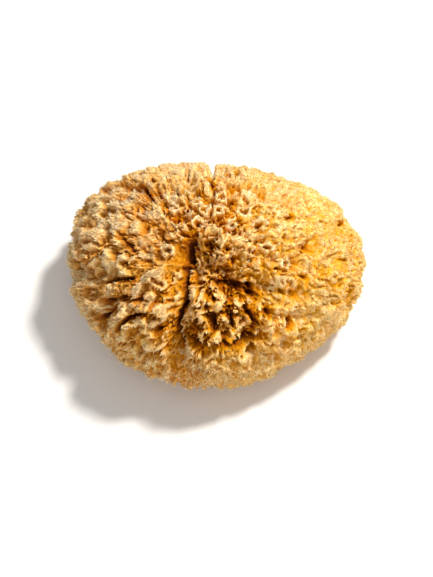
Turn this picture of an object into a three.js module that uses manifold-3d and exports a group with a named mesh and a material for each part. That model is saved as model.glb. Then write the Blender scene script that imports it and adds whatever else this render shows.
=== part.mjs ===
// A dried sea wool sponge, cut flat where it grew on the sea bed.
// It is one grown body: a broad low dome with lobes, furrows and a slit in its rear rim,
// and the mouths of its water canals all over. Its surface here is the one that its fibre tips reach.
// Millimetres, +Z up, +X to the right and -Y to the front. The origin is under the middle, on the cut.

import * as THREE from "three";
import { mergeVertices } from "three/addons/utils/BufferGeometryUtils.js";
import Module from "manifold-3d";

// Driving dimensions
const HEIGHT = 70; // from the flat cut to the crown
const BELLY = 24; // level of the widest outline, where the sponge once grew from
const UNDERSIDE = 42; // how far the belly would reach below that level if it weren't cut
const CROWN_FULLNESS = 2.3; // exponent of the upper half's section: 2 is an ellipse
const UNDER_FULLNESS = 2.2; // the same for the part below the belly
const FACETS_PER_EDGE = 22; // how finely each edge of the starting icosahedron is divided

// The outline at the belly, seen from above, anticlockwise from the right
const OUTLINE = [
  [75, 3], [71, 20], [57, 35], [31, 45], [6, 54], [-24, 54], [-52, 47], [-70, 32], [-75, 11],
  [-74, -13], [-63, -32], [-49, -48], [-29, -59], [-1, -63], [25, -57], [47, -43], [64, -28], [73, -12],
];

// Swellings of the dome: azimuth and elevation in degrees from the belly's centre,
// then how far they reach and their height
const SWELLINGS = [
  { azimuth: -30, elevation: 74, reach: 40, height: 2.5 }, // crown
  { azimuth: -104, elevation: 36, reach: 26, height: 3 }, // front shelf
  { azimuth: -136, elevation: 30, reach: 28, height: 3 }, // lobe at the front left
  { azimuth: 178, elevation: 30, reach: 32, height: 2 }, // left shoulder
  { azimuth: -8, elevation: 34, reach: 44, height: 2 }, // right shoulder
  { azimuth: 52, elevation: 38, reach: 32, height: 2 }, // rear right shoulder
];

// Furrows between the lobes: the directions that they pass through,
// then how far they reach to each side and their depth
const FURROWS = [
  { path: [[-128, 66], [-118, 49], [-112, 31], [-109, 14]], reach: 9, depth: 10 }, // main cleft
  { path: [[-104, 60], [-84, 54], [-62, 47]], reach: 14, depth: 7 }, // hollow under the crown
  { path: [[-176, 0], [-170, 15], [-159, 30]], reach: 7, depth: 5 }, // dent in the left rim
  { path: [[-148, 8], [-146, 22], [-140, 34]], reach: 7, depth: 5 }, // between the left lobes
  { path: [[-70, 10], [-76, 26], [-88, 36]], reach: 8, depth: 4 }, // right of the front shelf
  { path: [[14, 10], [22, 28], [34, 46]], reach: 7, depth: 3 }, // rear right
  { path: [[150, 20], [147, 38], [138, 52]], reach: 6, depth: 4 }, // rear left
];

// Slit in the rear rim: a thin blade's outline in the upright plane through the centre, as [out, up]
const SLIT = {
  azimuth: 93,
  thickness: 1.8,
  blade: [[46, 8], [80, 8], [80, 66], [27, 66], [38, 50], [45, 33]],
};

// Canal mouths, spaced by the golden angle and shifted a little each
const CANALS = 360;
const CANAL_RADIUS = 5;
const CANAL_DEPTH = 5;
const CANAL_SHIFT = 0.07; // of the unit sphere
const GOLDEN_ANGLE = Math.PI * (3 - Math.sqrt(5));

const wasm = await Module();
wasm.setup();

const CENTRE = new THREE.Vector3(0, 0, BELLY);

function direction(azimuth, elevation) {
  return new THREE.Vector3().setFromSphericalCoords(
    1,
    THREE.MathUtils.degToRad(90 - elevation),
    THREE.MathUtils.degToRad(azimuth),
  ).applyMatrix4(Z_UP);
}

// setFromSphericalCoords measures from +Y and turns from +Z towards +X: this brings that to +Z and from +X
const Z_UP = new THREE.Matrix4().makeBasis(
  new THREE.Vector3(0, 1, 0),
  new THREE.Vector3(0, 0, 1),
  new THREE.Vector3(1, 0, 0),
);

// Distance from the middle to the belly's outline in each of STEPS directions
function outlineReach() {
  const STEPS = 720;
  const corners = OUTLINE.map(([x, y]) => new THREE.Vector3(x, y, 0));
  const points = new THREE.CatmullRomCurve3(corners, true, "centripetal").getSpacedPoints(4 * STEPS);
  const reach = new Array(STEPS).fill(0);
  for (const p of points) {
    const turn = Math.atan2(p.y, p.x) / (2 * Math.PI) + 1;
    reach[Math.floor(turn * STEPS) % STEPS] = Math.hypot(p.x, p.y);
  }
  return (azimuth) => {
    const at = ((azimuth / (2 * Math.PI) + 1) * STEPS) % STEPS;
    const low = Math.floor(at) % STEPS;
    return THREE.MathUtils.lerp(reach[low], reach[(low + 1) % STEPS], at - Math.floor(at));
  };
}

const reachOf = outlineReach();

// Distance from the centre to the smooth dome in direction d
function domeRadius(d) {
  const across = Math.hypot(d.x, d.y) / reachOf(Math.atan2(d.y, d.x));
  const [rise, fullness] = d.z > 0 ? [HEIGHT - BELLY, CROWN_FULLNESS] : [UNDERSIDE, UNDER_FULLNESS];
  return (across ** fullness + (Math.abs(d.z) / rise) ** fullness) ** (-1 / fullness);
}

// A bump of height 1 that fades to 0 at its reach
function bump(distance, reach) {
  const t = Math.min(1, distance / reach);
  return (1 - t * t) ** 2;
}

// Angle between d and the nearest point of a furrow's path, in radians
function angleToPath(d, path) {
  let nearest = Math.PI;
  for (let i = 0; i + 1 < path.length; i++) {
    const along = new THREE.Vector3().subVectors(path[i + 1], path[i]);
    const t = new THREE.Vector3().subVectors(d, path[i]).dot(along) / along.lengthSq();
    const foot = path[i].clone().addScaledVector(along, THREE.MathUtils.clamp(t, 0, 1));
    nearest = Math.min(nearest, foot.angleTo(d));
  }
  return nearest;
}

// A number from 0 to 1 that is always the same for the same seed
function chance(seed) {
  const wave = Math.sin(seed * 12.9898) * 43758.5453;
  return wave - Math.floor(wave);
}

function canalMouths() {
  return Array.from({ length: CANALS }, (_, k) => {
    const z = 1 - (2 * (k + 0.5)) / CANALS;
    const turn = k * GOLDEN_ANGLE;
    const d = new THREE.Vector3(Math.cos(turn), Math.sin(turn), 0).multiplyScalar(Math.sqrt(1 - z * z));
    const shift = [1, 2, 3].map((n) => CANAL_SHIFT * (2 * chance(3 * k + n) - 1));
    return {
      axis: new THREE.Vector3(d.x + shift[0], d.y + shift[1], z + shift[2]).normalize(),
      size: 0.75 + 0.5 * chance(7 * k + 5),
    };
  });
}

const swellings = SWELLINGS.map((s) => ({ ...s, axis: direction(s.azimuth, s.elevation) }));
const furrows = FURROWS.map((f) => ({ ...f, path: f.path.map(([a, e]) => direction(a, e)) }));
const canals = canalMouths();

// Distance from the centre to the sponge's surface in direction d
function surfaceRadius(d) {
  const dome = domeRadius(d);
  let radius = dome;
  for (const s of swellings) radius += s.height * bump(s.axis.angleTo(d) * dome, s.reach);
  for (const f of furrows) radius -= f.depth * bump(angleToPath(d, f.path) * dome, f.reach);
  let mouth = 0;
  for (const c of canals)
    mouth = Math.max(mouth, c.size * bump(c.axis.angleTo(d) * dome, CANAL_RADIUS * c.size));
  return radius - CANAL_DEPTH * mouth;
}

// A closed three.js geometry as a manifold-3d solid
function solidOf(geometry) {
  geometry.deleteAttribute("normal");
  geometry.deleteAttribute("uv");
  const merged = mergeVertices(geometry, 1e-4);
  const mesh = new wasm.Mesh({
    numProp: 3,
    vertProperties: merged.attributes.position.array,
    triVerts: new Uint32Array(merged.index.array),
  });
  return new wasm.Manifold(mesh);
}

function geometryOf(solid) {
  const { vertProperties, triVerts } = solid.getMesh();
  const geometry = new THREE.BufferGeometry();
  geometry.setAttribute("position", new THREE.BufferAttribute(vertProperties, 3));
  geometry.setIndex(new THREE.BufferAttribute(triVerts, 1));
  geometry.computeVertexNormals();
  return geometry;
}

function grownBody() {
  const geometry = new THREE.IcosahedronGeometry(1, FACETS_PER_EDGE);
  const position = geometry.attributes.position;
  const d = new THREE.Vector3();
  for (let i = 0; i < position.count; i++) {
    d.fromBufferAttribute(position, i).normalize();
    const p = d.clone().multiplyScalar(surfaceRadius(d)).add(CENTRE);
    position.setXYZ(i, p.x, p.y, p.z);
  }
  return solidOf(geometry);
}

// Everything below the flat cut
function seaBed() {
  const size = 4 * HEIGHT;
  return solidOf(new THREE.BoxGeometry(size, size, size).translate(0, 0, -size / 2));
}

function slitBlade() {
  const outline = new THREE.Shape(SLIT.blade.map(([out, up]) => new THREE.Vector2(out, up)));
  const blade = new THREE.ExtrudeGeometry(outline, { depth: SLIT.thickness, bevelEnabled: false });
  blade.translate(0, 0, -SLIT.thickness / 2); // centred on its plane
  blade.rotateX(Math.PI / 2); // its second axis becomes +Z
  blade.rotateZ(THREE.MathUtils.degToRad(SLIT.azimuth));
  return solidOf(blade);
}

const body = geometryOf(grownBody().subtract(slitBlade()).subtract(seaBed()));

// The origin goes under the middle of the body's box
body.computeBoundingBox();
const middle = body.boundingBox.getCenter(new THREE.Vector3());
body.translate(-middle.x, -middle.y, -body.boundingBox.min.z);

const spongeFibre = new THREE.MeshStandardMaterial({ color: 0xd8ab66, roughness: 0.95, metalness: 0 });
const sponge = new THREE.Mesh(body, spongeFibre);
sponge.name = "sponge";

const group = new THREE.Group();
group.add(sponge);

export default group;
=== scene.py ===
"""A dried sea wool sponge, cut flat where it grew: a lobed golden dome of fibre tufts and water canals.

It is one grown thing, so its pieces here are one skeleton of solid spongin and the fibres that bristle
on it. The functions that grow it work in millimetres, and the meshes that they make are in metres.
"""

import functools
import itertools
import math
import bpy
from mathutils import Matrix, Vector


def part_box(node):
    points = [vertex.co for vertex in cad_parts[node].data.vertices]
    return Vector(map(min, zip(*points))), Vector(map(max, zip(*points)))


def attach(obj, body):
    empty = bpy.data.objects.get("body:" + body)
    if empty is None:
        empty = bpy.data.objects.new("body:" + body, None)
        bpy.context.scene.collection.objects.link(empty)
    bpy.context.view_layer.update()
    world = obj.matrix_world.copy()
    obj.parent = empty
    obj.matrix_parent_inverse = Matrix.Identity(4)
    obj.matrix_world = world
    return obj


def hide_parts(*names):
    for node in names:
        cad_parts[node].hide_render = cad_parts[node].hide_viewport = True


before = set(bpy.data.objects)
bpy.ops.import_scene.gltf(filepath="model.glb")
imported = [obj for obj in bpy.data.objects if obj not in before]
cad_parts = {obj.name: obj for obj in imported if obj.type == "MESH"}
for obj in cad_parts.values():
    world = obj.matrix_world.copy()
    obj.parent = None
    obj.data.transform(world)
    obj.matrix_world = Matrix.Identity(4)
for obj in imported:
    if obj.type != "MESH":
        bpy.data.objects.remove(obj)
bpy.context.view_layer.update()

from concurrent.futures import ThreadPoolExecutor

import bmesh
import bpy
import numpy as np
import openvdb
from mathutils import Vector
from mathutils.bvhtree import BVHTree

MM = 0.001  # one millimetre in metres
NODE = "sponge"
LOW, HIGH = [np.array(corner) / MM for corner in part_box(NODE)]

# The point that the sponge grew from, and that its tufts and canals point away from:
# shares of the box's size, from the middle of the flat cut
GROWTH_SHARES = np.array([0.0, 0.038, 0.33])
GROWTH = GROWTH_SHARES * (HIGH - LOW) + np.array([0.0, 0.0, LOW[2]])

# The skeleton
VOXEL = 0.55  # side of the cells that it is worked out in
SHELL = 17.0  # how deep below the skin it is open; further in it is solid
SKELETON_TRIANGLES = 360000
SPLIT_LEVEL = 36.0  # height of the cut between its two meshes

# Noises, each with the spacing of its hills and its seed
WALLS = (3.8, 13)
FLUTES = (0.9, 14)  # fine ridges along the tufts
PATCHES = (11, 15)  # where walls are common and where they are rare
TIP_HEIGHTS = (4, 16)
TINTS = (1.1, 19)  # lighter and darker spots
WARPS = (7, 41)  # and the two seeds after it, one for each direction
CLUMPS = (1.6, 51)  # the same, for the fibres

# Noises of several sizes, each size with its strength, spacing and seed
FINE_LUMPS = [(0.8, 2.1, 11), (0.45, 1.05, 12)]
COARSE_LUMPS = [(0.8, 4.6, 17), (0.3, 2.3, 18)]
RAGGED_CRACKS = [(0.8, 1.8, 61), (0.8, 3.6, 62)]
RAGGED_RINGS = [(0.5, 1.4, 71), (0.7, 3.5, 72)]

WARP = 1.6  # how far the patterns are bent
INWARD_CHANGE = 0.2  # how much a pattern changes on the way in, where 1 is as much as along the skin

# Where the tufts are broad and steep, and where they stand close: azimuth, elevation and reach
COARSE = [(180, 30, 60), (-135, 30, 50), (-100, 40, 34)]
DENSE = [(25, 30, 75), (-75, 0, 34), (-40, 5, 50), (110, 25, 40)]

# Spongin is where the pattern of tufts and thin walls is above a level
WALL_THINNESS = 2.4
WALL_LUMPS = 0.25  # how much the walls follow the tufts
WALL_RARITY = 0.3
WALL_PATCHES = 0.5
FLUTE_STRENGTH = 0.34
COARSE_FLUTES = 0.1  # how much weaker flutes are on broad tufts

# That level at the skin and deep down, and how it goes from one to the other
TIP_LEVEL = 0.6
COARSE_DROP = 0.35  # how much lower it is at the skin of broad tufts
DENSE_DROP = 0.75  # and where tufts stand close
DEEP_LEVEL = -1.35
GAP_DEPTH = 8.5  # how deep the gaps are
DEEPEST_GAP = 1.2  # the share of that depth where the level stops going down
GAP_CURVE = 1.4
COARSE_CURVE = 1.2  # how much steeper the sides of broad tufts are
GAP_SCALE = 0.9  # millimetres for each unit of the pattern

# How far below the skin the tips are
TIP_STAGGER = 1.3
TIP_VARIATION = 0.7  # how much that varies
EVEN_TIPS = 0.45  # how much closer to the skin they are on broad tufts and where tufts stand close
LUMP_RISE = 0.8  # how much higher the tufts' middles are
RIM_RISE = 1.9  # and rims
FLUTE_NOTCH = 0.5

# Canals that water left by: how far apart, the least and largest radius, how deep, and the seed
LARGE_CANALS = (10.5, 1.0, 2.6, 14.0, 21)
SMALL_CANALS = (5.6, 0.5, 1.35, 9.0, 23)
CANAL_MOUTH = 1.15  # how wide a canal starts, where 1 is its radius
CANAL_NOISE = 1.6  # spacing of the hills that make canals ragged
BASE_CANALS = (8.5, 0.6, 2.6, 7.0, 31)
BASE_PORES = (3.6, 0.2, 1.1, 3.0, 35)
BASE_NOISE = 2
BASE_LEAN = np.array([1, 1, 0.12], np.float32)  # those in the cut run nearly straight up
RAGGEDNESS = 0.35
OPENING_MOUTH = 1.1  # the same as a canal's mouth, for every other opening

# Rims: walls of fibre round canals' mouths
RIM = 1.0  # their thickness
RIM_STRENGTH = 1.7
RIMMED = (80, 76, 48)  # where canals have them: azimuth, elevation and reach

# Rings of fibre round canal mouths at the crown: azimuth, elevation and radius of the ring's middle
RINGS = [
    (-180, 79, 2.6),
    (128, 71, 2.5),
    (77, 83, 2.7),
    (125, 79, 2.2),
    (83, 71, 2.6),
    (26, 72, 2.8),
    (-2, 65, 2.6),
    (-28, 58, 2.0),
    (-31, 47, 2.2),
    (143, 57, 1.9),
    (155, 63, 1.9),
    (-10, 81, 1.9),
    (-150, 58, 2.4),
    (48, 60, 2.4),
]
RING_WALL = 0.75  # half the thickness of a ring's wall
RING_INSIDE = 0.8  # how many of those halves the canal's side is from the ring's middle
RING_DEPTH = 8.0
MOAT_MIDDLE = 2.2  # how far outside a ring the gap round it is deepest
MOAT_REACH = 2.4  # how far the gap reaches from there to each side
MOAT_STRENGTH = 1.3

# Relief: where gaps are shallower or deeper than elsewhere, as azimuth, elevation, reach and change
RELIEF = [
    (-112, 35, 40, 0.15),
    (-88, 36, 30, 0.8),
    (-146, 54, 24, -0.2),
    (150, 80, 36, 0.15),
    (10, 30, 55, -0.4),
    (60, 35, 45, -0.45),
    (-70, -2, 34, -0.4),
]

# Fissures: cracks in the skin, as the directions they pass through, half their width and their depth
FISSURES = [
    ([(-148, 70), (-130, 61), (-123, 53), (-118, 47), (-112, 39)], 1.8, 13),  # main cleft, upper part
    ([(-112, 39), (-113, 32), (-111, 23), (-108, 15)], 1.7, 13),  # and its lower part
    ([(-88, 53), (-78, 51), (-67, 46), (-61, 41)], 2.2, 9),  # hollow under the crown
    ([(-106, 25), (-99, 24), (-93, 23), (-85, 23), (-77, 21), (-68, 23)], 2.0, 8),  # under the shelf
    ([(95, 52), (94, 62)], 1.2, 12),  # slit in the rear rim
    ([(118, 66), (111, 60)], 1.2, 7),
    ([(143, 37), (148, 43), (154, 48)], 1.2, 8),
    ([(146, 29), (148, 34)], 1.1, 7),
    ([(-172, 29), (-168, 27), (-163, 25)], 1.3, 8),
    ([(-178, 40), (-171, 41), (-163, 43)], 1.2, 8),
    ([(-165, 35), (-160, 37), (-155, 39)], 0.9, 7),
    ([(-157, 25), (-152, 33), (-148, 36)], 1.5, 9),
    ([(-151, 19), (-147, 26), (-141, 29), (-136, 33)], 1.6, 9),
    ([(-137, 15), (-136, 23), (-131, 28)], 1.5, 9),
    ([(-151, 6), (-148, 14), (-146, 20)], 1.5, 8),
    ([(-97, 41), (-92, 36), (-91, 31)], 1.5, 9),  # between the plates of the front shelf
    ([(-84, 40), (-81, 34), (-81, 29)], 1.2, 8),
    ([(-72, 39), (-68, 33), (-69, 28)], 1.5, 9),
]
FISSURE_MARGIN = 0.1  # how far round a fissure it is worked out, on a sphere of radius 1
FISSURE_RAGGED = 0.7
FISSURE_FRAY = 3  # how many half widths from its middle a fissure is ragged

# Pits: large single canals, as azimuth, elevation, radius and depth
PITS = [
    (-51, 23, 3.4, 9),
    (-47, 14, 3.2, 9),
    (-59, 33, 2.6, 9),
    (-12, 40, 1.7, 7),
    (-30, 36, 1.5, 7),
    (8, 50, 1.5, 7),
    (2, 77, 1.6, 8),
    (-120, 25, 1.7, 10),
    (-125, 22, 1.5, 10),
    (-129, 30, 1.3, 8),
    (-148, 72, 2.4, 12),
    (-100, 75, 1.7, 9),
    (-70, 72, 1.6, 9),
    (-174, 40, 1.4, 9),
    (-170, 31, 1.5, 9),
    (170, 66, 1.8, 9),
    (-103, 30, 1.6, 8),
    (-86, 26, 1.7, 8),
]
PIT_RAGGED = 0.4

FAR = 9  # stands for a distance past every one that matters
TINY = 1e-9  # keeps a division from being by nothing


# ---------------------------------------------------------------- noise

LATTICE = 64  # the noises repeat after this many cells, a power of two
STEEPNESS = 2.3  # of the slopes, so that hills are mostly between -1 and 1
PART = 40000  # how many points are worked on at a time


def in_parts(work):
    """Lets work on a long list of points run on several parts of it at once, which is quicker."""

    def run(points, *settings):
        if len(points) <= PART:
            return work(points, *settings)
        parts = [points[i : i + PART] for i in range(0, len(points), PART)]
        with ThreadPoolExecutor() as pool:
            done = list(pool.map(lambda part: work(part, *settings), parts))
        if isinstance(done[0], tuple):
            return tuple(np.concatenate(column) for column in zip(*done))
        return np.concatenate(done)

    return run


@functools.lru_cache(maxsize=None)
def lattice_slopes(seed):
    """A slope in a random direction for each corner of the lattice."""
    slopes = np.random.default_rng(seed).normal(size=(LATTICE**3, 3))
    return slopes.astype(np.float32) * STEEPNESS


@functools.lru_cache(maxsize=None)
def lattice_places(seed):
    """A random place in each cell of the lattice, and its luck, a random number from 0 to 1."""
    random = np.random.default_rng(seed)
    places = random.random((LATTICE**3, 3)).astype(np.float32)
    return places, random.random(LATTICE**3).astype(np.float32)


def lattice_index(cells, step):
    """Where the lattice keeps what belongs to the cells this step away from the given ones."""
    x, y, z = ((cells[:, i] + step[i]) & (LATTICE - 1) for i in range(3))
    return (x * LATTICE + y) * LATTICE + z


@in_parts
def hills(points, spacing, seed):
    """Smooth noise about 0, mostly from -1 to 1, with hills about twice the spacing apart."""
    slopes = lattice_slopes(seed)
    scaled = points / np.float32(spacing)
    cells = np.floor(scaled).astype(np.int32)
    inside = scaled - cells
    fade = inside * inside * inside * (inside * (inside * 6 - 15) + 10)
    shares = [[1 - fade[:, i], fade[:, i]] for i in range(3)]
    total = np.zeros(len(points), np.float32)
    for x, y, z in itertools.product((0, 1), repeat=3):
        slope = slopes[lattice_index(cells, (x, y, z))]
        rise = np.einsum("ij,ij->i", slope, inside - np.array((x, y, z), np.float32))
        total += shares[0][x] * shares[1][y] * shares[2][z] * rise
    return total


def layered(points, layers):
    """Noises of several sizes on one another, each given by its strength, spacing and seed."""
    return sum(strength * hills(points, spacing, seed) for strength, spacing, seed in layers)


def three_hills(points, spacing, seed):
    """A separate noise for each of the three directions."""
    return np.stack([hills(points, spacing, seed + i) for i in range(3)], axis=1)


@in_parts
def scattered(points, spacing, seed):
    """Distance to the nearest of places scattered about spacing apart, and that place's luck."""
    places, luck = lattice_places(seed)
    scaled = points / np.float32(spacing)
    cells = np.floor(scaled).astype(np.int32)
    inside = scaled - cells
    nearest = np.full(len(points), FAR, np.float32)
    chosen = np.zeros(len(points), np.int32)
    for step in itertools.product((-1, 0, 1), repeat=3):
        index = lattice_index(cells, step)
        away = places[index] + np.array(step, np.float32) - inside
        squared = np.einsum("ij,ij->i", away, away)
        chosen = np.where(squared < nearest, index, chosen)
        nearest = np.minimum(nearest, squared)
    return np.sqrt(nearest) * spacing, luck[chosen]


# ---------------------------------------------------------------- the sponge's skin

SKIN_STEP = 0.5  # degrees between the rays that measure the skin
AZIMUTHS = int(360 / SKIN_STEP)
ELEVATIONS = int(180 / SKIN_STEP) + 1
CUT_MARGIN = 0.05  # what is lower than this above the cut counts as the cut
LONGEST_REACH = 200  # of the skin as it is carried on below the cut
LEAST_ACROSS = 0.02  # of a direction, in case it points straight down
SKIN_BLUR = 0.7  # degrees over which the skin is smoothed
PATTERN_BLUR = 5  # and over which it is for the patterns to follow


def unit(azimuth, elevation):
    """The direction at this azimuth and elevation, in degrees."""
    a, e = math.radians(azimuth), math.radians(elevation)
    return np.array([math.cos(e) * math.cos(a), math.cos(e) * math.sin(a), math.sin(e)])


def faded(distance, reach):
    """1 at no distance, fading to 0 at the reach."""
    share = np.minimum(1, distance / reach)
    return (1 - share * share) ** 2


def measured_skin():
    """How far the CAD sponge reaches from the growth point, as a table over elevation and azimuth."""
    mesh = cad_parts[NODE].data
    corners = [v.co / MM for v in mesh.vertices]
    tree = BVHTree.FromPolygons(corners, [p.vertices for p in mesh.polygons])
    start = Vector(GROWTH)
    table = np.zeros((ELEVATIONS, AZIMUTHS), np.float32)
    for column in range(AZIMUTHS):
        side = 0
        for row in reversed(range(ELEVATIONS)):
            heading = unit(column * SKIN_STEP, row * SKIN_STEP - 90)
            hit = tree.ray_cast(start, Vector(heading))[3]
            foot = GROWTH + heading * hit
            if foot[2] > LOW[2] + CUT_MARGIN:
                side = math.hypot(foot[0] - GROWTH[0], foot[1] - GROWTH[1])
                table[row, column] = hit
            else:  # the cut: carry the side on downwards, as if the sponge weren't cut
                across = max(LEAST_ACROSS, math.hypot(heading[0], heading[1]))
                table[row, column] = min(LONGEST_REACH, side / across)
    return table


def blurred(table, degrees):
    """The table with its bumps smaller than this many degrees smoothed away, by a bell-shaped mean."""
    reach = int(3 * degrees / SKIN_STEP)  # past three times the bell's width nothing counts
    weights = np.exp(-0.5 * (np.arange(-reach, reach + 1) * SKIN_STEP / degrees) ** 2)
    weights /= weights.sum()
    across = sum(w * np.roll(table, s - reach, axis=1) for s, w in enumerate(weights))
    padded = np.pad(across, ((reach, reach), (0, 0)), mode="edge")
    return sum(w * padded[s : s + len(table)] for s, w in enumerate(weights)).astype(np.float32)


def reach_along(table, headings):
    """The table's value in each direction."""
    azimuth = np.degrees(np.arctan2(headings[:, 1], headings[:, 0])) / SKIN_STEP % AZIMUTHS
    elevation = (np.degrees(np.arcsin(np.clip(headings[:, 2], -1, 1))) + 90) / SKIN_STEP
    column = np.floor(azimuth).astype(int) % AZIMUTHS
    row = np.minimum(np.floor(elevation).astype(int), ELEVATIONS - 2)
    along, up = (azimuth % 1).astype(np.float32), (elevation - row).astype(np.float32)
    after = (column + 1) % AZIMUTHS
    lower = table[row, column] * (1 - along) + table[row, after] * along
    upper = table[row + 1, column] * (1 - along) + table[row + 1, after] * along
    return lower * (1 - up) + upper * up


SKIN = blurred(measured_skin(), SKIN_BLUR)
SMOOTH_SKIN = blurred(SKIN, PATTERN_BLUR)


def place(points):
    """Of each point: its direction from the growth point, its depth below the skin,
    and where it is in the patterns, which run inwards along the sponge's growth."""
    away = (points - GROWTH).astype(np.float32)
    distance = np.maximum(TINY, np.linalg.norm(away, axis=1))
    headings = away / distance[:, None]
    depth = reach_along(SKIN, headings) - distance
    pattern_reach = reach_along(SMOOTH_SKIN, headings) - INWARD_CHANGE * np.maximum(0, depth)
    return headings, depth, headings * pattern_reach[:, None]


# ---------------------------------------------------------------- openings and tufts


def nearness(headings, azimuth, elevation, reach):
    """1 in this direction from the growth point, fading to 0 at the reach, in degrees."""
    angle = np.degrees(np.arccos(np.clip(headings @ unit(azimuth, elevation), -1, 1)))
    return faded(angle, reach).astype(np.float32)


def nearest_of(headings, places):
    """The nearness to whichever of these places is nearest for its reach."""
    return np.maximum.reduce([nearness(headings, *where) for where in places])


def relief_at(headings):
    """How deep the gaps are in each direction, where 1 is the usual depth."""
    return 1 + sum(change * nearness(headings, *where) for *where, change in RELIEF)


def narrowing(depth, deepest, mouth=OPENING_MOUTH, widest=1):
    """The share of its radius that an opening has at a depth. Past its end that is below 0."""
    return np.clip(mouth - depth / deepest, -1, widest)


def canal_holes(pattern, depth, canals):
    """How far inside a canal each point is, and how much it is in the rim round a canal's mouth."""
    spacing, least, largest, deepest, seed = canals
    away, luck = scattered(pattern, spacing, seed)
    ragged = RAGGEDNESS * hills(pattern, CANAL_NOISE, seed + 1)
    radius = (least + (largest - least) * luck) * narrowing(depth, deepest, CANAL_MOUTH)
    rim = 1 - ((away - radius - RIM / 2) / RIM) ** 2
    return radius - away + ragged, rim


def rings_at(headings, depth, pattern):
    """How much each point is in a ring's wall, in the gap round it, and how far inside its canal."""
    ragged = layered(pattern, RAGGED_RINGS)
    distance = np.linalg.norm(pattern, axis=1)
    wall = np.full(len(headings), -FAR, np.float32)
    moat = np.zeros(len(headings), np.float32)
    hole = wall.copy()
    for azimuth, elevation, radius in RINGS:
        away = distance * np.linalg.norm(headings - unit(azimuth, elevation), axis=1) + ragged
        wall = np.maximum(wall, 1 - ((away - radius) / RING_WALL) ** 2)
        moat = np.maximum(moat, faded(np.abs(away - radius - MOAT_MIDDLE), MOAT_REACH))
        inside = (radius - RING_INSIDE * RING_WALL) * narrowing(depth, RING_DEPTH)
        hole = np.maximum(hole, inside - away)
    return wall, moat, hole


def sponge_pattern(headings, depth, pattern):
    """How far inside a gap or canal each point near the skin is. Below 0 is spongin."""
    coarse = nearest_of(headings, COARSE)
    dense = nearest_of(headings, DENSE) * (1 - coarse)
    large, large_rim = canal_holes(pattern, depth, LARGE_CANALS)
    small, small_rim = canal_holes(pattern, depth, SMALL_CANALS)
    ring, moat, ring_hole = rings_at(headings, depth, pattern)
    rim = nearness(headings, *RIMMED) * np.maximum(large_rim, small_rim) * (1 - moat)
    rim = np.maximum(rim, ring)

    lumps = layered(pattern, FINE_LUMPS) * (1 - coarse)
    lumps += layered(pattern, COARSE_LUMPS) * coarse
    walls = 1.0 - WALL_THINNESS * np.abs(hills(pattern, *WALLS))
    walls = walls + WALL_LUMPS * lumps - WALL_RARITY + WALL_PATCHES * hills(pattern, *PATCHES)
    flutes = hills(pattern, *FLUTES)
    tufts = np.maximum(np.maximum(lumps, walls) - MOAT_STRENGTH * moat, RIM_STRENGTH * rim)
    tufts = tufts + (FLUTE_STRENGTH - COARSE_FLUTES * coarse) * flutes

    inward = np.clip(depth / (GAP_DEPTH * relief_at(headings)), 0, DEEPEST_GAP)
    skin_level = TIP_LEVEL - COARSE_DROP * coarse - DENSE_DROP * dense
    level = skin_level + (DEEP_LEVEL - skin_level) * inward ** (GAP_CURVE + COARSE_CURVE * coarse)
    gap = GAP_SCALE * (level - tufts)

    stagger = (1 - EVEN_TIPS * np.maximum(coarse, dense)) * TIP_STAGGER
    stagger = stagger * (1 + TIP_VARIATION * hills(pattern, *TIP_HEIGHTS))
    rise = LUMP_RISE * lumps
    tip = stagger - rise - RIM_RISE * np.maximum(0, rim) + FLUTE_NOTCH * flutes - depth
    return np.maximum.reduce([gap, tip, large, small, ring_hole])


def distance_to_path(headings, path):
    """Distance from each direction to the nearest point of a path on a sphere of radius 1."""
    nearest = np.full(len(headings), FAR, np.float32)
    for one, other in zip(path, path[1:]):
        along = other - one
        share = np.clip((headings - one) @ along / (along @ along), 0, 1)
        foot = one + share[:, None] * along
        nearest = np.minimum(nearest, np.linalg.norm(headings - foot, axis=1))
    return nearest


def fissures_and_pits(headings, depth, pattern):
    """How far inside a fissure or a pit each point is."""
    ragged = layered(pattern, RAGGED_CRACKS)
    distance = np.linalg.norm(pattern, axis=1)
    void = np.full(len(headings), -FAR, np.float32)
    for corners, half_width, deepest in FISSURES:
        path = [unit(*corner) for corner in corners]
        reach = FISSURE_MARGIN + max(np.linalg.norm(corner - path[0]) for corner in path)
        near = np.linalg.norm(headings - path[0], axis=1) < reach
        if near.any():
            away = distance[near] * distance_to_path(headings[near], path)
            crack = half_width * narrowing(depth[near], deepest) - away
            crack += FISSURE_RAGGED * ragged[near] * (away < FISSURE_FRAY * half_width)
            void[near] = np.maximum(void[near], crack)
    for azimuth, elevation, radius, deepest in PITS:
        away = distance * np.linalg.norm(headings - unit(azimuth, elevation), axis=1)
        pit = radius * narrowing(depth, deepest) - away + PIT_RAGGED * ragged
        void = np.maximum(void, pit)
    return void


def base_holes(points):
    """How far inside a canal or pore that the flat cut goes across each point is."""
    height = points[:, 2] - LOW[2]
    void = np.full(len(points), -FAR, np.float32)
    for spacing, least, largest, deepest, seed in (BASE_CANALS, BASE_PORES):
        away, luck = scattered(points * BASE_LEAN, spacing, seed)
        radius = (least + (largest - least) * luck) * narrowing(height, deepest, widest=OPENING_MOUTH)
        void = np.maximum(void, radius - away + RAGGEDNESS * hills(points, BASE_NOISE, seed + 1))
    return void


# ---------------------------------------------------------------- the skeleton

OUTSIDE = 2  # how far outside the skin the patterns are worked out
BASE_LAYER = BASE_CANALS[3]  # and how far above the cut, however deep under the skin
FIELD_BAND = 1.5  # how many cells to each side of its surface the skeleton's field goes on

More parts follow.
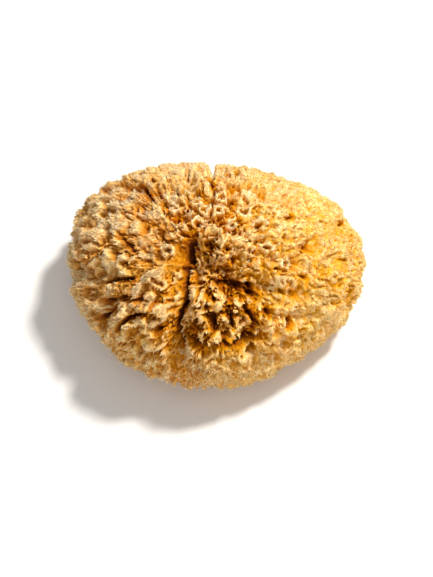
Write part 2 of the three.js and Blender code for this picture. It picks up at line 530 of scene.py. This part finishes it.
# The painted shade of a place is by its depth. Where less light comes, it counts as deeper than it is
CUT_SHADE = 1.2  # the flat cut is shaded as if it were this deep
OPENING_SHADE = 2.2  # how much deeper the walls of fissures and pits count
OPENING_EDGE = 1.2  # how far outside them that starts
RING_SHADE = 2.5  # the same for the canals in the rings, where the shade starts more sharply
RING_EDGE = 0.4
# Painted light: the rings' walls are painted paler than their depth gives
RING_PAINTED_LIGHT = 1.2  # how much shallower the rings themselves count
SHADE_START = 1.5  # depth at which openings are in full shade
PALE_END = 1.5  # a ring is paler down to twice this depth


@in_parts
def void_at(points):
    """How far inside the air each point is, in an opening or outside. Below 0 is spongin."""
    headings, depth, pattern = place(points)
    void = np.where(depth > 0, -FAR, FAR).astype(np.float32)
    near = (depth > -OUTSIDE) & ((depth < SHELL) | (points[:, 2] < LOW[2] + BASE_LAYER))
    if near.any():
        headings, depth, pattern = headings[near], depth[near], pattern[near]
        pattern = pattern + WARP * three_hills(pattern, *WARPS)
        void[near] = np.maximum.reduce([
            sponge_pattern(headings, depth, pattern),
            fissures_and_pits(headings, depth, pattern),
            base_holes(points[near]),
            -depth,
        ])
    return np.maximum(void, LOW[2] - points[:, 2])


def skeleton_field():
    """The space round the sponge as cells, with how far inside the air each one is."""
    margin = 2 * VOXEL
    counts = np.ceil((HIGH - LOW + 2 * margin) / VOXEL).astype(int) + 1
    start = LOW - margin
    axes = [start[i] + VOXEL * np.arange(counts[i]) for i in range(3)]
    points = np.stack(np.meshgrid(*axes, indexing="ij"), axis=-1).reshape(-1, 3).astype(np.float32)
    field = np.clip(void_at(points), -FIELD_BAND * VOXEL, FIELD_BAND * VOXEL).astype(np.float32)
    return field.reshape(counts), start


def main_island(points, quads):
    """Leaves out whatever isn't joined to the largest part."""
    label = np.arange(len(points))
    one, other = np.concatenate([quads[:, [i, (i + 1) % 4]] for i in range(4)]).T
    while (label[one] != label[other]).any():
        lowest = np.minimum(label[one], label[other])
        np.minimum.at(label, label[one], lowest)
        np.minimum.at(label, label[other], lowest)
        while (label != label[label]).any():
            label = label[label]
    values, counts = np.unique(label, return_counts=True)
    kept = label == values[counts.argmax()]
    renumbered = np.cumsum(kept) - 1
    return points[kept], renumbered[quads[kept[quads].all(axis=1)]]


def mesh_object(name, points, faces):
    """An object with these points, in millimetres, and these faces, all with as many corners."""
    mesh = bpy.data.meshes.new(name)
    mesh.vertices.add(len(points))
    mesh.vertices.foreach_set("co", (points * MM).astype(np.float32).ravel())
    mesh.loops.add(faces.size)
    mesh.loops.foreach_set("vertex_index", faces.astype(np.int32).ravel())
    mesh.polygons.add(len(faces))
    mesh.polygons.foreach_set("loop_start", np.arange(0, faces.size, faces.shape[1], dtype=np.int32))
    mesh.polygons.foreach_set("use_smooth", np.ones(len(faces), bool))
    mesh.update(calc_edges=True)
    mesh.validate()
    piece = bpy.data.objects.new(name, mesh)
    bpy.context.scene.collection.objects.link(piece)
    return piece


def points_of(mesh):
    """A mesh's points, in millimetres."""
    corners = np.empty(len(mesh.vertices) * 3, np.float32)
    mesh.vertices.foreach_get("co", corners)
    return corners.reshape(-1, 3) / MM


def set_values(mesh, name, values):
    """Gives each point of a mesh a number that the material reads."""
    attribute = mesh.attributes.new(name, "FLOAT", "POINT")
    attribute.data.foreach_set("value", values.astype(np.float32))


def shade_of_openings(headings, depth, pattern):
    """How much deeper the walls of pits, fissures and the rings' canals count than they are, because
    less light comes there: painted shade. The rings themselves count as shallower: painted light."""
    opening = fissures_and_pits(headings, depth, pattern)
    ring, _, ring_hole = rings_at(headings, depth, pattern)
    below_skin = np.clip(depth / SHADE_START, 0, 1)
    shade = OPENING_SHADE * np.clip(OPENING_EDGE + opening, 0, 1) * below_skin
    shade += RING_SHADE * np.clip(2 * (RING_EDGE + ring_hole), 0, 1) * below_skin
    return shade - RING_PAINTED_LIGHT * np.clip(1 + ring, 0, 1) * np.clip(PALE_END - depth / 2, 0, 1)


def one_half(whole, name, upper):
    """The part above or below the split, with the split filled in."""
    shape = bmesh.new()
    shape.from_mesh(whole)
    cut = bmesh.ops.bisect_plane(
        shape,
        geom=shape.verts[:] + shape.edges[:] + shape.faces[:],
        plane_co=(0, 0, SPLIT_LEVEL * MM),
        plane_no=(0, 0, -1 if upper else 1),
        clear_outer=True,
    )
    outline = [e for e in cut["geom_cut"] if isinstance(e, bmesh.types.BMEdge)]
    for edge in outline:
        edge.smooth = False
    bmesh.ops.triangle_fill(shape, edges=outline, use_beauty=True)
    bmesh.ops.triangulate(shape, faces=shape.faces[:])
    mesh = bpy.data.meshes.new(name)
    shape.to_mesh(mesh)
    shape.free()
    half = bpy.data.objects.new(name, mesh)
    bpy.context.scene.collection.objects.link(half)
    points = points_of(mesh)
    headings, depth, pattern = place(points)
    # Painted shade in openings and painted light on the rings go into the depth that colours the
    # skeleton
    depth += shade_of_openings(headings, depth, pattern)
    set_values(mesh, "depth", np.minimum(depth, CUT_SHADE + points[:, 2] - LOW[2]))
    set_values(mesh, "tint", hills(pattern, *TINTS))
    return half


def grow_skeleton():
    """The skeleton, as two meshes that meet at the split."""
    field, start = skeleton_field()
    grid = openvdb.FloatGrid(background=VOXEL)
    grid.copyFromArray(field)
    points, _, quads = grid.convertToPolygons(isovalue=0.0, adaptivity=0.0)
    points, quads = main_island(points, quads)
    skeleton = mesh_object("sponge_skeleton", points * VOXEL + start, quads)
    thin = skeleton.modifiers.new("thin", "DECIMATE")
    thin.ratio = min(1, SKELETON_TRIANGLES / (2 * len(quads)))
    evaluated = skeleton.evaluated_get(bpy.context.evaluated_depsgraph_get())
    whole = bpy.data.meshes.new_from_object(evaluated)
    bpy.data.objects.remove(skeleton)
    return [one_half(whole, "skeleton_upper", True), one_half(whole, "skeleton_lower", False)]


# ---------------------------------------------------------------- fibres

FIBRE_PIECES = ["fibres_left", "fibres_right", "fibres_rear"]
RIGHT = (0, 95)  # the right piece's middle azimuth and how far it reaches to each side
REAR = (90, 60)  # the same for the rear piece, which comes first; the left one takes the rest
FIBRES_IN_PIECE = 19000
FIBRE_LENGTH = (0.8, 1.9)
FIBRE_THICKNESS = 0.2  # radius at the root
THICKNESS_SHARES = (0.7, 1.3)  # of that, from the thinnest fibre to the thickest
MIDDLE_THICKNESS = 0.8  # share of the root's radius halfway along
ROOT_DEPTH = 0.3  # how deep the root is in the skeleton
DENSE_LOSS = 0.3  # how much shorter fibres are where tufts stand close
GAP_LOSS = 6  # over how much depth they would get shorter by their whole length
LENGTH_SHARES = (0.4, 1.1)  # how short they get deep in the gaps, and how long they are at the skin
FRINGES = [(-70, 66, 20), (160, 42, 30), (-92, 2, 24)]  # where they are up to half as long again
FRINGE_GAIN = 0.55

# Where fibres grow
SIDE_LIKING = 0.5  # how likely they are on a wall, where a face that looks outwards has 1 more
INNER_LIKING = 0.1  # and on one that looks inwards
FIBRE_FADE = 2.2  # over how much depth they get rarer
SPLIT_MARGIN = 1e-3  # a triangle this close to the split is part of its two flat faces
CUT_CLEARANCE = 0.8  # none has its root closer to the cut than this
RIMMED_LOSS = 0.6  # how much rarer they are on rims
PIT_CLEARANCE = 3  # how many degrees round a pit they are rare, for each millimetre of its radius

# Which way they lean and bend, as shares of the way out
LEAN_NORMAL = 0.35
LEAN_CLUMP = 0.4
LEAN_RANDOM = 0.14
BEND_RANDOM = 0.22

ROOT_CLEARANCE = 0.4  # how far above the cut their roots and middles stay
TIP_CLEARANCE = 0.3  # and their tips

# How far along its fibre each of a spike's corners is, for its shade
CORNERS_ALONG = np.array([0, 0, 0, 0.55, 0.55, 0.55, 1])
SPIKE_CORNERS = len(CORNERS_ALONG)


def between(low, high, shares):
    """The number at each share of the way from low to high."""
    return low + (high - low) * shares


def fibre_region(headings):
    """Which of the fibre pieces each direction belongs to."""
    azimuth = np.degrees(np.arctan2(headings[:, 1], headings[:, 0]))
    rear, right = (np.abs(azimuth - middle) < reach for middle, reach in (REAR, RIGHT))
    return np.where(rear, 2, np.where(right, 1, 0))


def triangles_of(halves):
    """The corners of all the triangles of the skeleton's meshes."""
    corners = []
    for half in halves:
        half.data.calc_loop_triangles()
        index = np.empty(len(half.data.loop_triangles) * 3, np.int32)
        half.data.loop_triangles.foreach_get("vertices", index)
        corners.append(points_of(half.data)[index].reshape(-1, 3, 3))
    return np.concatenate(corners)


def fibre_liking(corners, normal, area):
    """How likely a fibre is to grow on each triangle, and each triangle's direction."""
    headings, depth, _ = place(corners.sum(axis=1) / 3)
    outward = np.einsum("ij,ij->i", normal, headings) / np.maximum(TINY, area)
    liked = area * np.exp(-np.maximum(0, depth) / FIBRE_FADE)
    liked *= np.clip(SIDE_LIKING + outward, INNER_LIKING, SIDE_LIKING + 1)
    on_split = (np.abs(corners[:, :, 2] - SPLIT_LEVEL) < SPLIT_MARGIN).all(axis=1)
    liked *= (corners[:, 0, 2] > LOW[2] + CUT_CLEARANCE) & ~on_split
    liked *= 1 - RIMMED_LOSS * nearness(headings, *RIMMED)
    for *where, radius, _ in PITS:
        liked *= 1 - nearness(headings, *where, PIT_CLEARANCE * radius)
    return liked, headings


def fibre_roots(halves, random):
    """Places on the skeleton for the fibres, more of them near the skin, and its normals there."""
    corners = triangles_of(halves)
    a, b, c = (corners[:, i] for i in range(3))
    normal = np.cross(b - a, c - a)
    area = np.linalg.norm(normal, axis=1)
    liked, headings = fibre_liking(corners, normal, area)
    region = fibre_region(headings)
    roots = []
    for number in range(len(FIBRE_PIECES)):
        here = np.flatnonzero(region == number)
        chosen = random.choice(here, FIBRES_IN_PIECE, p=liked[here] / liked[here].sum())
        u, v = random.random((2, FIBRES_IN_PIECE, 1))
        u, v = np.where(u + v > 1, 1 - u, u), np.where(u + v > 1, 1 - v, v)
        at = a[chosen] + u * (b - a)[chosen] + v * (c - a)[chosen]
        roots.append((at, normal[chosen] / area[chosen][:, None]))
    return roots


def normalised(vectors):
    """The vectors at a length of 1."""
    return vectors / np.maximum(TINY, np.linalg.norm(vectors, axis=1, keepdims=True))


def fibre_lengths(headings, depth, random):
    """Fibres are shorter where tufts stand close and in the gaps, and longer at the fringes."""
    length = between(*FIBRE_LENGTH, random.random(len(depth)))
    length *= 1 - DENSE_LOSS * nearest_of(headings, DENSE)
    shortest, longest = LENGTH_SHARES
    length *= np.clip(longest - depth / GAP_LOSS, shortest, longest)
    length *= 1 + FRINGE_GAIN * nearest_of(headings, FRINGES)
    return length[:, None]


def spike_points(start, middle, tip, lean, thickness, random):
    """Of each fibre, three corners round its root, three halfway and one at the tip."""
    side = normalised(np.cross(lean, random.normal(size=lean.shape)))
    other = np.cross(lean, side)
    corners = []
    for centre, radius in ((start, thickness), (middle, MIDDLE_THICKNESS * thickness)):
        for k in range(3):
            turn = 2 * math.pi * k / 3
            corners.append(centre + radius * (math.cos(turn) * side + math.sin(turn) * other))
    return np.stack(corners + [tip], axis=1).reshape(-1, 3)


def spike_faces(count):
    """The triangles between those corners: the root's end, the point and the sides."""
    spike = [[0, 2, 1], [3, 4, 6], [4, 5, 6], [5, 3, 6]]
    for k in range(3):
        after = (k + 1) % 3
        spike += [[k, after, 3 + after], [k, 3 + after, 3 + k]]
    return (np.array(spike) + SPIKE_CORNERS * np.arange(count)[:, None, None]).reshape(-1, 3)


def grow_fibres(name, roots, normals, random):
    """One piece of short bent spikes that lean out in clumps."""
    count = len(roots)
    headings, depth, _ = place(roots)
    clump = three_hills(roots.astype(np.float32), *CLUMPS)
    lean = headings + LEAN_NORMAL * normals + LEAN_CLUMP * clump
    lean = normalised(lean + LEAN_RANDOM * random.normal(size=(count, 3)))
    bend = normalised(lean + BEND_RANDOM * random.normal(size=(count, 3)))
    length = fibre_lengths(headings, depth, random)
    thickness = FIBRE_THICKNESS * between(*THICKNESS_SHARES, random.random((count, 1)))
    start = roots - ROOT_DEPTH * lean
    middle = roots + 0.5 * length * lean
    tip = middle + 0.5 * length * bend
    for points, clearance in ((start, ROOT_CLEARANCE), (middle, ROOT_CLEARANCE), (tip, TIP_CLEARANCE)):
        points[:, 2] = np.maximum(points[:, 2], LOW[2] + clearance)
    corners = spike_points(start, middle, tip, lean, thickness, random)
    piece = mesh_object(name, corners, spike_faces(count))
    # Each corner counts as shallower by how far along its fibre it is, so the depth colours, partly
    # painted shade, make fibres paler towards their tips
    raised = (length * CORNERS_ALONG).ravel()
    set_values(piece.data, "depth", np.repeat(depth, SPIKE_CORNERS) - raised)
    set_values(piece.data, "tint", np.repeat(random.normal(size=count), SPIKE_CORNERS))
    return piece


# ---------------------------------------------------------------- materials


def linear(red, green, blue):
    """A colour given as on screen, 0 to 255, as the linear light values that a shader takes."""
    shares = [c / 255 for c in (red, green, blue)]
    return [s / 12.92 if s <= 0.04045 else ((s + 0.055) / 1.055) ** 2.4 for s in shares] + [1]


# Painted shade: these colours darken with depth, partly the spongin's own colour and partly the shade
# that falls in the gaps
FIBRE_COLOURS_AND_SHADE = [  # from a tip to the bottom of a deep gap
    (0.0, linear(252, 230, 186)),
    (0.15, linear(244, 208, 150)),
    (0.3, linear(228, 174, 98)),
    (0.5, linear(205, 134, 36)),
    (0.72, linear(166, 88, 4)),
    (1.0, linear(98, 40, 0)),
]
COLOURED_DEPTHS = {"From Min": -1.5, "From Max": 8.5}  # depth of the first colour and the last
PATCH_CHANGE = (-0.5, 0.5)  # how much deeper a patch counts, in millimetres
STRAND_CHANGE = (-0.6, 0.6)  # and a strand
TINT_STRENGTH = 0.13  # how much lighter a tint of 1 is
HUES = (0.499, 0.507)  # 0.5 is the colour as it is, and more is yellower
ROUGHNESS = (0.98, 0.8)  # from the hollows of the weave to its strands

# Painted light: the right side, where the key light falls, is painted more saturated than the left, in
# shade: metres along X, and how strong the colour is there
PAINTED_LIGHT_SATURATION = {"From Min": -0.06, "From Max": 0.06, "To Min": 0.97, "To Max": 1.12}

# How many times a noise in the material changes in a metre, and its levels of detail
PATCH_NOISE = (55, 2)
STRAND_NOISE = (700, 3)
HUE_NOISE = (38, 1)
WEAVE_NOISE = (1500, 3)


def noise_node(tree, coordinates, scale, detail):
    """Noise from 0 to 1, mostly from 0.3 to 0.7."""
    noise = tree.nodes.new("ShaderNodeTexNoise")
    noise.inputs["Scale"].default_value = scale
    noise.inputs["Detail"].default_value = detail
    tree.links.new(coordinates, noise.inputs["Vector"])
    return noise.outputs["Fac"]


def mapped(tree, value, limits):
    """The value moved from one range to another, as a Map Range node's limits give them."""
    node = tree.nodes.new("ShaderNodeMapRange")
    for name, number in limits.items():
        node.inputs[name].default_value = number
    tree.links.new(value, node.inputs["Value"])
    return node.outputs["Result"]


def spread(tree, noise, low, high):
    """Noise spread from low to high."""
    return mapped(tree, noise, {"From Min": 0.3, "From Max": 0.7, "To Min": low, "To Max": high})


def calculated(tree, operation, one, other):
    """What a Math node makes of two values, each a number or a socket."""
    node = tree.nodes.new("ShaderNodeMath")
    node.operation = operation
    for socket, value in zip(node.inputs, (one, other)):
        if isinstance(value, (int, float)):
            socket.default_value = value
        else:
            tree.links.new(value, socket)
    return node.outputs["Value"]


def coloured_and_shaded_by_depth(tree, depth):
    """The colour that spongin has at a depth in millimetres, darker deeper down partly by painted
    shade.
    """
    ramp = tree.nodes.new("ShaderNodeValToRGB")
    elements = ramp.color_ramp.elements
    while len(elements) < len(FIBRE_COLOURS_AND_SHADE):
        elements.new(0.5)
    for element, (position, colour) in zip(elements, FIBRE_COLOURS_AND_SHADE):
        element.position = position
        element.color = colour
    tree.links.new(mapped(tree, depth, COLOURED_DEPTHS), ramp.inputs["Fac"])
    return ramp.outputs["Color"]


def fibre_colour_and_shade_group():
    """Colours spongin by its depth in millimetres, partly by its own colour and partly by painted
    shade:
    pale at the tips, amber in the gaps and brown at their bottom. Wide patches are a little deeper or
    paler, and each fibre differs by its tint."""
    group = bpy.data.node_groups.new("fibre colour and painted shade", "ShaderNodeTree")
    group.interface.new_socket("Depth", in_out="INPUT", socket_type="NodeSocketFloat")
    group.interface.new_socket("Tint", in_out="INPUT", socket_type="NodeSocketFloat")
    group.interface.new_socket("Position", in_out="INPUT", socket_type="NodeSocketVector")
    group.interface.new_socket("Color", in_out="OUTPUT", socket_type="NodeSocketColor")
    given = group.nodes.new("NodeGroupInput").outputs
    result = group.nodes.new("NodeGroupOutput")
    patches = spread(group, noise_node(group, given["Position"], *PATCH_NOISE), *PATCH_CHANGE)
    strands = spread(group, noise_node(group, given["Position"], *STRAND_NOISE), *STRAND_CHANGE)
    depth = calculated(group, "ADD", given["Depth"], calculated(group, "ADD", patches, strands))
    across = group.nodes.new("ShaderNodeSeparateXYZ")
    group.links.new(given["Position"], across.inputs["Vector"])
    hue = spread(group, noise_node(group, given["Position"], *HUE_NOISE), *HUES)
    tint = calculated(group, "MULTIPLY", given["Tint"], TINT_STRENGTH)
    shift = group.nodes.new("ShaderNodeHueSaturation")
    group.links.new(hue, shift.inputs["Hue"])
    # Painted light: more saturated towards the lit right side
    group.links.new(mapped(group, across.outputs["X"], PAINTED_LIGHT_SATURATION), shift.inputs["Saturation"])
    group.links.new(calculated(group, "ADD", tint, 1), shift.inputs["Value"])
    group.links.new(coloured_and_shaded_by_depth(group, depth), shift.inputs["Color"])
    group.links.new(shift.outputs["Color"], result.inputs["Color"])
    return group


def value_of(tree, name):
    """The number that each point of the mesh was given under this name."""
    attribute = tree.nodes.new("ShaderNodeAttribute")
    attribute.attribute_name = name
    return attribute.outputs["Fac"]


def sponge_material():
    """Dry, matt spongin that lets a little light through, with a fine weave."""
    material = bpy.data.materials.new("spongin fibre")
    material.use_nodes = True
    tree = material.node_tree
    shader = tree.nodes["Principled BSDF"]
    position = tree.nodes.new("ShaderNodeTexCoord").outputs["Object"]
    colour = tree.nodes.new("ShaderNodeGroup")
    colour.node_tree = fibre_colour_and_shade_group()
    # The depth that the meshes carry drives the colours, partly painted shade
    tree.links.new(value_of(tree, "depth"), colour.inputs["Depth"])
    tree.links.new(value_of(tree, "tint"), colour.inputs["Tint"])
    tree.links.new(position, colour.inputs["Position"])
    tree.links.new(colour.outputs["Color"], shader.inputs["Base Color"])
    weave = noise_node(tree, position, *WEAVE_NOISE)
    bump = tree.nodes.new("ShaderNodeBump")
    bump.inputs["Strength"].default_value = 0.5
    bump.inputs["Distance"].default_value = 0.4 * MM
    tree.links.new(weave, bump.inputs["Height"])
    tree.links.new(bump.outputs["Normal"], shader.inputs["Normal"])
    tree.links.new(spread(tree, weave, *ROUGHNESS), shader.inputs["Roughness"])
    shader.inputs["Specular IOR Level"].default_value = 0.12
    shader.inputs["Subsurface Weight"].default_value = 0.12
    shader.inputs["Subsurface Radius"].default_value = (1.0, 0.55, 0.2)
    shader.inputs["Subsurface Scale"].default_value = 2 * MM
    return material


# ---------------------------------------------------------------- studio

FLOOR_COLOUR = linear(244, 243, 241)
FLOOR_SIZE = 3  # half its side

# Lights: azimuth, elevation, distance, size, power and colour
KEY = (38, 59, 0.9, 0.15, 10.5, (1.0, 0.97, 0.92))
FILL = (-85, 22, 1.0, 0.9, 3.2, (1.0, 0.98, 0.95))
SURROUND = 0.4  # strength of the white light from all round

CAMERA_ELEVATION = 62
CAMERA_DISTANCE = 0.62
SENSOR_WIDTH = 36  # millimetres
VIEW_WIDTH = 0.21946  # how much the camera sees from left to right at the growth point
RAISED = 0.0101  # how far above the middle of the view the growth point shows


def add_light(name, azimuth, elevation, distance, size, power, colour):
    """A round soft light that points at the sponge."""
    data = bpy.data.lights.new(name, "AREA")
    data.shape = "DISK"
    data.size = size
    data.energy = power
    data.color = colour
    lamp = bpy.data.objects.new(name, data)
    bpy.context.scene.collection.objects.link(lamp)
    aim = Vector(GROWTH * MM)
    lamp.location = aim + distance * Vector(unit(azimuth, elevation))
    lamp.rotation_euler = (aim - lamp.location).to_track_quat("-Z", "Y").to_euler()


def add_floor():
    """A plain pale floor, which isn't part of the sponge."""
    mesh = bpy.data.meshes.new("floor")
    floor = bpy.data.objects.new("floor", mesh)
    bpy.context.scene.collection.objects.link(floor)
    shape = bmesh.new()
    bmesh.ops.create_grid(shape, x_segments=1, y_segments=1, size=FLOOR_SIZE)
    shape.to_mesh(mesh)
    shape.free()
    material = bpy.data.materials.new("pale floor")
    material.use_nodes = True
    shader = material.node_tree.nodes["Principled BSDF"]
    shader.inputs["Base Color"].default_value = FLOOR_COLOUR
    shader.inputs["Roughness"].default_value = 0.8
    mesh.materials.append(material)


def add_camera():
    """The camera looks down on the sponge from the front."""
    data = bpy.data.cameras.new("camera")
    data.sensor_fit = "HORIZONTAL"
    data.sensor_width = SENSOR_WIDTH
    data.lens = SENSOR_WIDTH * CAMERA_DISTANCE / VIEW_WIDTH
    camera = bpy.data.objects.new("camera", data)
    bpy.context.scene.collection.objects.link(camera)
    towards = Vector(unit(-90, CAMERA_ELEVATION))
    up = Vector(unit(90, 90 - CAMERA_ELEVATION))
    aim = Vector(GROWTH * MM) - RAISED * up
    camera.location = aim + CAMERA_DISTANCE * towards
    camera.rotation_euler = (-towards).to_track_quat("-Z", "Y").to_euler()
    bpy.context.scene.camera = camera


def add_studio():
    """The floor, the camera and the light."""
    add_floor()
    add_camera()
    add_light("key", *KEY)
    add_light("fill", *FILL)
    world = bpy.data.worlds.new("studio")
    world.use_nodes = True
    background = world.node_tree.nodes["Background"]
    background.inputs["Color"].default_value = (1, 1, 1, 1)
    background.inputs["Strength"].default_value = SURROUND
    bpy.context.scene.world = world
    bpy.context.scene.view_settings.view_transform = "Standard"


def finish_piece(piece, material):
    """Gives a piece its material, attaches it to the root body and hides the CAD part that it stands in
    for.
    """
    piece.data.materials.clear()
    piece.data.materials.append(material)
    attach(piece, "root")
    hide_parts(NODE)


FIBRE_SEED = 5


def main():
    add_studio()
    material = sponge_material()
    halves = grow_skeleton()
    for half in halves:
        finish_piece(half, material)
    random = np.random.default_rng(FIBRE_SEED)
    for name, (roots, normals) in zip(FIBRE_PIECES, fibre_roots(halves, random)):
        finish_piece(grow_fibres(name, roots, normals, random), material)


main()
